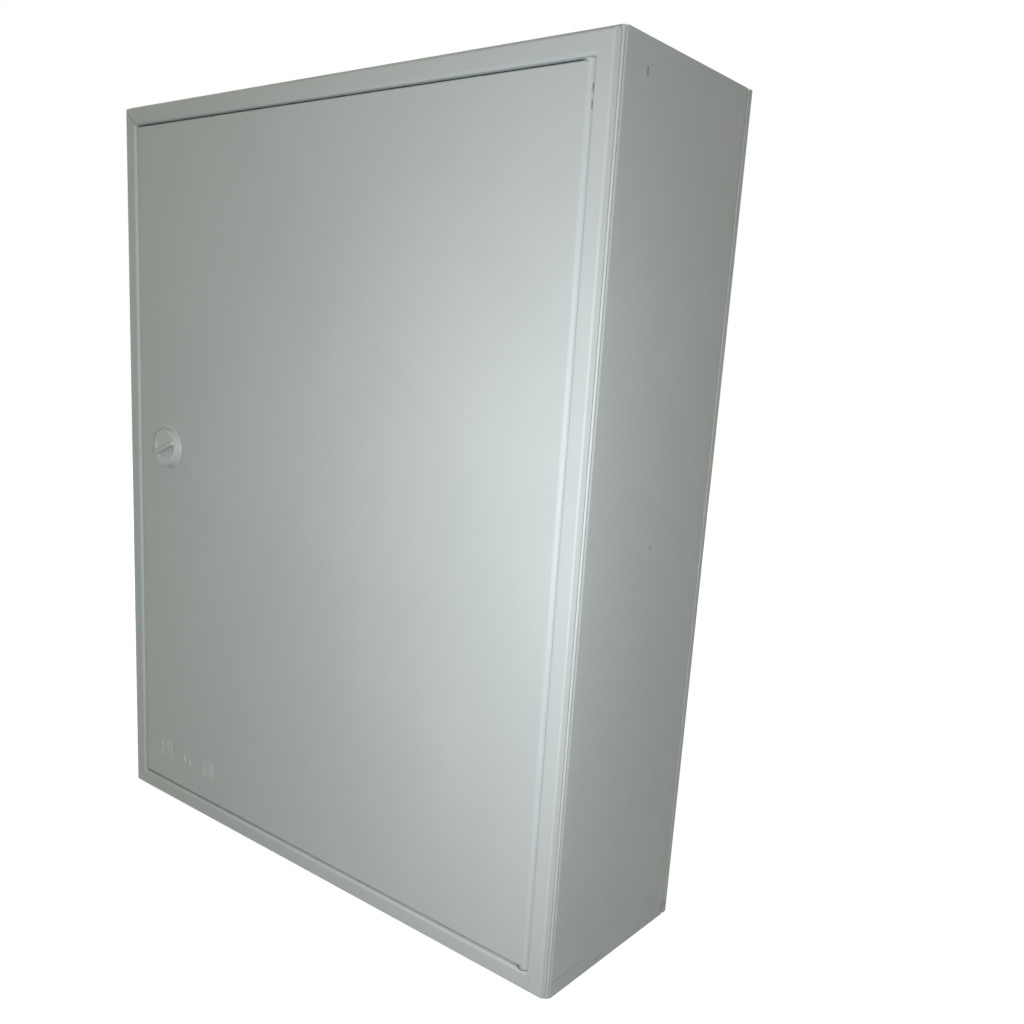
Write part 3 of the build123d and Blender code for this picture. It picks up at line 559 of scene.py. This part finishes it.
def makeSeal():
    # a bead, flat at its back, carried round the rectangle: sin(t)^fullness high, cos(t) across
    v = sealStrip
    low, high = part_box("door_gasket")
    loop = roundedLoop(low[0], high[0], low[2], high[2], v["cornerRadius"], v["cornerSteps"])
    t = np.linspace(0.0, math.pi, v["profileSteps"])
    across = v["width"] * (0.5 - 0.5 * np.cos(t))
    part = carriedAround(loop, across, low[1] + v["height"] * np.sin(t) ** v["fullness"])
    piece = surfacePiece("sealBead", [part], "door", materials["foamSeal"])
    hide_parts("door_gasket")


makeSeal()
print("seal made")

doorMarks = {
    "proud": 0.0015, "sunk": 0.0002,
    "line": 0.0025, "lineSteps": 9, "fullness": 0.8, "cornerShare": 0.08, "cornerSteps": 5,
    "squareCentre": (-0.2592, 0.0622), "squareSize": 0.0208,
    "wedgeOffset": (0.0008, -0.0005), "wedgeSize": 0.0150,
    "dropCentre": (-0.2180, 0.0580), "dropSize": 0.0105, "dropPitch": 0.0100,
    "dropStagger": 0.0008, "dropWide": 0.42, "dropTall": 0.55, "dropTaper": 0.75,
    "dropRings": 8, "dropSteps": 28,
    "nestedCentre": (-0.1760, 0.0600), "nestedSizes": (0.0198, 0.0096),
}
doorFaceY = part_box("door_panel")[0][1]


def raisedSquare(centre, size):
    # a square ring, proud * sin(t)^fullness high, closed at the back just inside the sheet
    v, half = doorMarks, size / 2
    loop = roundedLoop(centre[0] - half, centre[0] + half, centre[1] - half, centre[1] + half,
                       size * v["cornerShare"], v["cornerSteps"])
    t = np.linspace(0.0, math.pi, v["lineSteps"])
    y = doorFaceY + v["sunk"] - v["proud"] * np.sin(t) ** v["fullness"]
    return carriedAround(loop, v["line"] * t / math.pi, y)


def raisedDrop(centre, size):
    # a drop: its width shrinks upwards as 1 - taper (z + 1) / 2, and it stands proud by
    # sqrt(1 - r^2), with z from -1 to 1 and r from 0 to 1
    v = doorMarks
    angle = anglesAround(v["dropSteps"])[None, :]
    ring = np.sin(np.linspace(0.0, quarterTurn, v["dropRings"]))[:, None]
    x = v["dropWide"] * size * np.cos(angle) * (1.0 - v["dropTaper"] * (np.sin(angle) + 1) / 2)
    z = v["dropTall"] * size * np.sin(angle)
    y = doorFaceY + v["sunk"] - v["proud"] * np.sqrt(1 - ring ** 2) + 0 * angle
    front = np.stack([centre[0] + ring * x, y, centre[1] + ring * z], axis=-1)
    back = np.stack([np.full_like(y[:1], centre[0]), y[-1:], np.full_like(y[:1], centre[1])],
                    axis=-1)
    points = np.concatenate([front, back]).reshape(-1, 3)
    return facingOut(points, gridFaces(len(ring) + 1, angle.size, closeColumns=True))


def makeMarks():
    v = doorMarks
    x, z = v["dropCentre"]
    half, stagger = v["dropPitch"] / 2, v["dropStagger"]
    wedge = [at + offset for at, offset in zip(v["squareCentre"], v["wedgeOffset"])]
    parts = [raisedSquare(v["squareCentre"], v["squareSize"]),
             raisedDrop(wedge, v["wedgeSize"]),
             raisedDrop((x - half, z + stagger), v["dropSize"]),
             raisedDrop((x + half, z - stagger), v["dropSize"])]
    parts += [raisedSquare(v["nestedCentre"], size) for size in v["nestedSizes"]]
    surfacePiece("doorRelief", parts, "door", materials["powderCoatGrey"])


makeMarks()
print("marks made")

lock = {
    "steps": 96,
    "rim": 0.0064, "floor": 0.0020, "bowlRadius": 0.0188, "rimInner": 0.0196,
    "rimOuter": 0.0214, "foot": 0.0231, "footFlare": 0.0008, "footRise": 0.0010,
    "bore": 0.00505, "barrelRadius": 0.0110, "barrelEnd": -0.0170,
    "cornerCuts": (0.0003, 0.0012, 0.0005, 0.0006, 0.0004, 0.0002, 0.0002, 0.0008, 0.0004),
    "threadPitch": 0.0015, "threadDepth": 0.0005, "threadProud": 0.0001,
    "threadMargin": 0.001, "threadFront": -0.0016, "threadSteps": 48,
    "faceRadius": 0.0203, "faceHeight": 0.0095, "lowest": 0.0038, "edgeRound": 0.0028,
    "faceGap": 0.0003, "neckRadius": 0.0180,
    "recessDepth": 0.0050, "recessRise": 0.80, "wallRun": 0.0013,
    "recessFade": (2.2, 0.2), "recessFadeShare": 0.55,  # fade's start and end in edge rounds
    "gripHalfWidth": 0.0018, "gripAngle": 21.5,
    "gripSteps": 5, "wallSteps": 9, "recessSteps": 12, "edgeSteps": 16, "alongSteps": 97,
    "spindleRadius": 0.0050, "spindleFront": 0.0010,
    "square": 0.0070, "squareOverlap": 0.0002, "squareSteps": 32,
    "nutSteps": 72,
}
lockLow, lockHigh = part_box("lock_housing")
lockX, lockZ = (lockLow[0] + lockHigh[0]) / 2, (lockLow[2] + lockHigh[2]) / 2
lockCentre = (lockX, doorFaceY, lockZ)


def makeCollar():
    # a moulded ring: bowl, rim and flared foot before the door, a threaded barrel behind it
    v = lock
    corners = [(v["bore"], v["floor"]), (v["bowlRadius"], v["floor"]), (v["rimInner"], v["rim"]),
               (v["rimOuter"], v["rim"]), (v["foot"] - v["footFlare"], v["footRise"]),
               (v["foot"], 0.0), (v["barrelRadius"], 0.0), (v["barrelRadius"], v["barrelEnd"]),
               (v["bore"], v["barrelEnd"])]
    ring = turned(roundCorners(corners, v["cornerCuts"]), lockCentre, v["steps"])
    radii, heights = thread(v["barrelRadius"] + v["threadProud"], v["threadDepth"],
                            v["threadPitch"], v["barrelEnd"] + v["threadMargin"],
                            v["threadFront"], v["threadSteps"])
    inner = 0 * radii[:1] + v["bore"] + v["threadMargin"]
    radii = np.concatenate([inner, radii, inner])
    heights = np.concatenate([heights[:1], heights, heights[-1:]])
    parts = [ring, stacked(radii, heights, lockCentre)]
    piece = surfacePiece("lockCollar", parts, "door", materials["lockGrey"])
    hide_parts("lock_housing")


def smoothStep(value, start, end):
    # 3 t^2 - 2 t^3 between start and end
    t = np.clip((value - start) / (end - start), 0.0, 1.0)
    return t * t * (3 - 2 * t)


def knobFace():
    # a disc in rows beside the grip: the bar, two scoops that rise from it as 1 - rise u,
    # and a rim rounded as 1 - sqrt(1 - e^2)
    v = lock
    radius, half, run, edgeRound = v["faceRadius"], v["gripHalfWidth"], v["wallRun"], v["edgeRound"]
    rim = np.linspace(math.asin(1 - edgeRound / radius), quarterTurn, v["edgeSteps"])
    side = np.concatenate([
        np.linspace(0.0, half, v["gripSteps"]),
        np.linspace(half, half + run, v["wallSteps"])[1:],
        np.linspace(half + run, radius - edgeRound, v["recessSteps"])[1:],
        radius * np.sin(rim)[1:]])
    across = np.concatenate([-side[:0:-1], side])[:, None]
    t = np.sin(np.linspace(-quarterTurn, quarterTurn, v["alongSteps"]))[None, :]
    along = t * np.sqrt(np.maximum(radius ** 2 - across ** 2, 0.0))
    r = np.hypot(along, across)
    away = np.abs(across) + 0 * r
    rise = v["recessRise"] * np.clip((away - half) / (radius - half), 0, 1)
    scoop = smoothStep(away, half, half + run) * (1 - rise)
    fadeStart, fadeEnd = (radius - share * edgeRound for share in v["recessFade"])
    scoop *= 1 - smoothStep(r, fadeStart, fadeEnd) * v["recessFadeShare"]
    edge = np.clip((r - (radius - edgeRound)) / edgeRound, 0.0, 1.0)
    height = (v["faceHeight"] - v["recessDepth"] * scoop
              - edgeRound * (1 - np.sqrt(1 - edge ** 2)) * (1 - 0.5 * scoop))
    return along, across + 0 * along, np.maximum(height, v["lowest"])


def makeKnob():
    # the face and its underside, the neck in the bowl, and the spindle that turns the cam
    v = lock
    camLow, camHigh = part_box("lock_cam")
    camFront, camBack = doorFaceY - camLow[1], doorFaceY - camHigh[1]
    along, across, height = knobFace()
    turn = math.radians(v["gripAngle"])
    x = lockX + along * math.cos(turn) - across * math.sin(turn)
    z = lockZ + along * math.sin(turn) + across * math.cos(turn)
    front = np.stack([x, doorFaceY - height, z], axis=-1)
    back = np.stack([x, np.full_like(x, doorFaceY - v["floor"] - v["faceGap"]), z], axis=-1)
    neckShare = v["neckRadius"] / v["faceRadius"]
    back = (back - np.array(lockCentre)) * np.array([neckShare, 1.0, neckShare])
    back = back + np.array(lockCentre)
    rows, columns = x.shape
    faces = gridFaces(rows, columns)
    number = np.arange(rows * columns).reshape(rows, columns)
    edge = np.concatenate([number[:, 0], number[::-1, -1]])  # the rows' ends go round the rim
    following = np.roll(edge, -1)
    around = np.stack([edge, following, following + number.size, edge + number.size], axis=1)
    shell = np.concatenate([front.reshape(-1, 3), back.reshape(-1, 3)])
    shellFaces = np.concatenate([faces, faces[:, ::-1] + number.size, around[:, ::-1]])
    spindle = np.array([(0.0, v["floor"] + v["spindleFront"]),
                        (v["spindleRadius"], v["floor"] + v["spindleFront"]),
                        (v["spindleRadius"], camFront), (0.0, camFront)])
    angle = anglesAround(v["squareSteps"])
    square = v["square"] / 2 / np.maximum(np.abs(np.cos(angle)), np.abs(np.sin(angle)))
    ends = [camBack, camFront + v["squareOverlap"]]
    parts = [facingOut(shell, shellFaces), turned(spindle, lockCentre, v["steps"]),
             stacked(*capped([square, square], ends), lockCentre)]
    piece = surfacePiece("lockKnob", parts, "latch", materials["lockGrey"])
    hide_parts("lock_knob")


nutShape = {"circle": 1.06, "endShare": 0.98, "middleShare": 1.03, "chamfer": 0.12}


def nutPart(flats, boreRadius, thick, centre, steps):
    # a hexagon nut with chamfered corners: a circle that grows from each face cuts its outline
    v = nutShape
    outline, bore = hexOutline(flats, steps), np.full(steps, boreRadius)
    circle = np.full(steps, flats / 2 * v["circle"])
    end = np.minimum(outline, circle * v["endShare"])
    middle = np.minimum(outline, circle * v["middleShare"])
    chamfer = v["chamfer"] * thick
    radii = [bore, end, middle, outline, outline, middle, end, bore, bore]
    heights = [0, 0, chamfer * 0.5, chamfer * 1.5, thick - chamfer * 1.5, thick - chamfer * 0.5,
               thick, thick, 0]
    return stacked(radii, heights, centre, "back")


def makeLockNut():
    low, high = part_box("lock_nut")
    part = nutPart(high[2] - low[2], lock["barrelRadius"], high[1] - low[1],
                   (lockX, low[1], lockZ), lock["nutSteps"])
    piece = surfacePiece("lockNut", [part], "door", materials["zincPlated"])
    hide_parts("lock_nut")


makeCollar()
makeKnob()
makeLockNut()
print("lock made")

crossHead = {
    "domeEnd": 1.15, "domeSteps": 6, "brim": 0.35, "steps": 32,
    "crossArm": 0.36, "crossHalfWidth": 0.11,
    "recess": ((1.04, 1.0), (1.0, 0.97), (0.7, 0.35), (0.0, 0.3)),  # shares of cross and height
}
screwRows = {  # grid: how many along x, and across
    "railScrews": {"node": "rail_screws", "towards": "front", "grid": (2, 2),
                   "head": 0.0045, "height": 0.0025, "shank": 0.0025},
    "glandScrews": {"node": "gland_screws", "towards": "top", "grid": (3, 2),
                    "head": 0.0045, "height": 0.0030, "shank": 0.0025},
    "earthScrews": {"node": "earth_screws", "towards": "front", "grid": (9, 1),
                    "head": 0.0045, "height": 0.0030, "shank": 0.0026},
}


def crossHeadScrew(values, length):
    # a domed head, h = H (brim + (1 - brim) sin t), with a cross recess, over a plain shank
    v, radius, height = crossHead, values["head"], values["height"]
    t = np.linspace(0.0, v["domeEnd"], v["domeSteps"])
    dome = height * (v["brim"] + (1 - v["brim"]) * np.sin(t))
    cross = crossOutline(radius * v["crossArm"], radius * v["crossHalfWidth"], v["steps"])
    circles = [0.0, values["shank"], values["shank"], radius] + list(radius * np.cos(t))
    radii = [0 * cross + circle for circle in circles]
    heights = [-length, -length, 0.0, 0.0] + list(dome)
    for crossShare, heightShare in v["recess"]:
        radii.append(cross * crossShare)
        heights.append(height * heightShare)
    return stacked(radii, heights, (0.0, 0.0, 0.0), values["towards"])


def spread(low, high, head, count):
    # one screw in the middle, or several from edge to edge
    if count == 1:
        return [(low + high) / 2]
    return np.linspace(low + head, high - head, count)


def makeScrewRow(name, values):
    # the screws of one node, replaced by detailed ones at the same places
    nodeName, head, (columns, rows) = values["node"], values["head"], values["grid"]
    low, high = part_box(nodeName)
    alongX = spread(low[0], high[0], head, columns)
    if values["towards"] == "front":
        seat = low[1] + values["height"]
        length = high[1] - seat
        places = [(x, seat, z) for x in alongX for z in spread(low[2], high[2], head, rows)]
    else:
        seat = high[2] - values["height"]
        length = seat - low[2]
        places = [(x, y, seat) for x in alongX for y in spread(low[1], high[1], head, rows)]
    part = crossHeadScrew(values, length)
    piece = surfacePiece(name, [copiedTo(part, places)], "cabinet", materials["screwZinc"])
    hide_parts(nodeName)


studs = {"radius": 0.004, "pitch": 0.00125, "depth": 0.0006, "tip": 0.0012, "tipStep": 0.0006,
         "steps": 24, "nutFlats": 0.013, "nutSteps": 48}


def makeStudsAndNuts():
    # four threaded studs, and the nuts before and behind the mounting plate
    v = studs
    low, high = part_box("plate_studs")
    corners = [(x, 0.0, z) for x in (low[0] + v["radius"], high[0] - v["radius"])
               for z in (low[2] + v["radius"], high[2] - v["radius"])]
    length = high[1] - low[1]
    radii, heights = thread(v["radius"], v["depth"], v["pitch"], 0.0, length - v["tip"], v["steps"])
    tip = np.full((1, v["steps"]), v["radius"] - v["depth"] - v["tipStep"])
    radii, heights = np.concatenate([radii, tip]), np.append(heights, length)
    part = stacked(*capped(radii, heights), (0.0, high[1], 0.0))
    piece = surfacePiece("plateStuds", [copiedTo(part, corners)], "cabinet",
                         materials["zincPlated"])
    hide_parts("plate_studs")

    nutLow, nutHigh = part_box("plate_nuts")
    plateLow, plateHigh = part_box("mounting_plate")
    parts = [copiedTo(nutPart(v["nutFlats"], v["radius"], back - front, (0.0, front, 0.0),
                              v["nutSteps"]), corners)
             for front, back in ((nutLow[1], plateLow[1]), (plateHigh[1], nutHigh[1]))]
    piece = surfacePiece("plateNuts", parts, "cabinet", materials["zincPlated"])
    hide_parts("plate_nuts")


camBolt = {"head": 0.0050, "height": 0.0035, "shank": 0.0025, "steps": 48,
           "circle": 0.92, "side": 0.85, "dish": (0.55, 0.5), "dishFloor": 0.9}


def makeCamScrew():
    # a hexagon head with rounded corners and a shallow dish, on a plain shank
    v = camBolt
    low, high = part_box("cam_screw")
    seat = high[1] - v["height"]
    outline = hexOutline(v["head"] * math.sqrt(3), v["steps"])
    circle, shank = np.full(v["steps"], v["head"] * v["circle"]), np.full(v["steps"], v["shank"])
    radii = [shank, shank, outline, outline, np.minimum(outline, circle)]
    radii += [circle * share for share in v["dish"]]
    heights = [low[1] - seat, 0.0, 0.0, v["height"] * v["side"], v["height"], v["height"],
               v["height"] * v["dishFloor"]]
    part = stacked(*capped(radii, heights), (lockX, seat, lockZ), "back")
    piece = surfacePiece("camScrew", [part], "latch", materials["zincPlated"])
    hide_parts("cam_screw")


for rowName, rowValues in screwRows.items():
    makeScrewRow(rowName, rowValues)
makeStudsAndNuts()
makeCamScrew()
print("fasteners made")

cameraView = {
    "place": (0.7709, -0.7648, 0.5646),
    "azimuth": 38.17, "elevation": 12.508, "roll": 3.634,
    "lens": 35.52, "sensor": 36.0, "shift": (0.0061, 0.0606), "nearest": 0.01,
}
lamps = {
    "flash": {"place": (0.559, -0.595, 0.440), "target": (0.0, -0.1, 0.43), "size": 0.18,
              "power": 3.58, "colour": (0.921, 0.937, 1.0)},
    "fill": {"place": (-1.0, -2.4, 2.2), "target": (0.0, 0.0, 0.4), "size": 1.6,
             "power": 0.4, "colour": (1.0, 0.85, 0.65)},
    "rear": {"place": (-2.2, 2.4, 1.3), "target": (0.0, 0.1, 0.4), "size": 1.8,
             "power": 26.0, "colour": (1.0, 1.0, 1.0)},
}
surroundings = {
    "ambient": (0.421, 0.405, 0.337),
    "frontAndBehind": (1.15, 0.55), "levelAndAbove": (1.25, 0.45),
    "floorSeen": (0.82, 0.82, 0.82, 1.0), "floorBounce": (0.12, 0.12, 0.12, 1.0),
    "floorGlow": 0.80, "floorHalf": 12.0, "floorGap": 0.0005,
    "floorRoughness": 0.9, "floorGloss": 0.1,
}


def placeCamera():
    v = cameraView
    camera = bpy.data.objects.new("camera", bpy.data.cameras.new("camera"))
    bpy.context.scene.collection.objects.link(camera)
    turn = (Matrix.Rotation(math.radians(v["azimuth"]), 4, "Z")
            @ Matrix.Rotation(math.radians(90 - v["elevation"]), 4, "X")
            @ Matrix.Rotation(math.radians(v["roll"]), 4, "Z"))
    camera.matrix_world = Matrix.Translation(v["place"]) @ turn
    camera.data.sensor_width = v["sensor"]
    camera.data.lens = v["lens"]
    camera.data.shift_x, camera.data.shift_y = v["shift"]
    camera.data.clip_start = v["nearest"]
    bpy.context.scene.camera = camera


def placeLamp(name, values):
    lamp = bpy.data.objects.new(name, bpy.data.lights.new(name, "AREA"))
    bpy.context.scene.collection.objects.link(lamp)
    lamp.data.shape = "DISK"
    lamp.data.size = values["size"]
    lamp.data.energy = values["power"]
    lamp.data.color = values["colour"]
    lamp.location = values["place"]
    aim = Vector(values["target"]) - Vector(values["place"])
    lamp.rotation_euler = aim.to_track_quat("-Z", "Y").to_euler()
    lamp.visible_camera = False


def seenWhite(tree):
    # 1 for rays that show the background: camera, glossy and transmission rays
    path = tree.nodes.new("ShaderNodeLightPath").outputs
    direct = combined(tree, "MAXIMUM", path["Is Camera Ray"], path["Is Glossy Ray"])
    return combined(tree, "MAXIMUM", direct, path["Is Transmission Ray"])


def layFloor():
    v = surroundings
    mesh = bpy.data.meshes.new("floor")
    side = np.linspace(-v["floorHalf"], v["floorHalf"], 3)
    x, y = np.meshgrid(side, side, indexing="ij")
    points = np.stack([x, y, np.full_like(x, cadLow[2] - v["floorGap"])], axis=-1)
    mesh.from_pydata(points.reshape(-1, 3).tolist(), [], gridFaces(3, 3).tolist())
    material = bpy.data.materials.new("paleFloor")
    material.use_nodes = True
    tree = material.node_tree
    seen = seenWhite(tree)
    feed(tree, tree.nodes["Principled BSDF"], {
        "Roughness": v["floorRoughness"], "Specular IOR Level": v["floorGloss"],
        "Base Color": mixColour(tree, seen, v["floorBounce"], v["floorSeen"]),
        "Emission Color": white,
        "Emission Strength": combined(tree, "MULTIPLY", seen, v["floorGlow"])})
    mesh.materials.append(material)
    floor = bpy.data.objects.new("floor", mesh)
    bpy.context.scene.collection.objects.link(floor)


def setWorld():
    # white where it is seen; as light, a soft room, brighter in front and near the ground
    v = surroundings
    world = bpy.data.worlds.new("plainRoom")
    bpy.context.scene.world = world
    world.use_nodes = True
    tree = world.node_tree
    seen = seenWhite(tree)
    direction = tree.nodes.new("ShaderNodeTexCoord").outputs["Generated"]
    parts = linkedNode(tree, "ShaderNodeSeparateXYZ", {"Vector": direction})
    inFront = mapRange(tree, parts.outputs["Y"], -1.0, 1.0, *v["frontAndBehind"])
    lowDown = mapRange(tree, parts.outputs["Z"], 0.0, 1.0, *v["levelAndAbove"])
    share = combined(tree, "MULTIPLY", inFront, lowDown)
    soft = vectorMath(tree, "SCALE", {0: v["ambient"], "Scale": share})
    feed(tree, tree.nodes["Background"], {"Color": mixColour(tree, seen, soft, white)})


placeCamera()
for lampName, lampValues in lamps.items():
    placeLamp(lampName, lampValues)
layFloor()
setWorld()
bpy.context.scene.view_settings.view_transform = "Standard"
print("camera, lamps and floor placed")
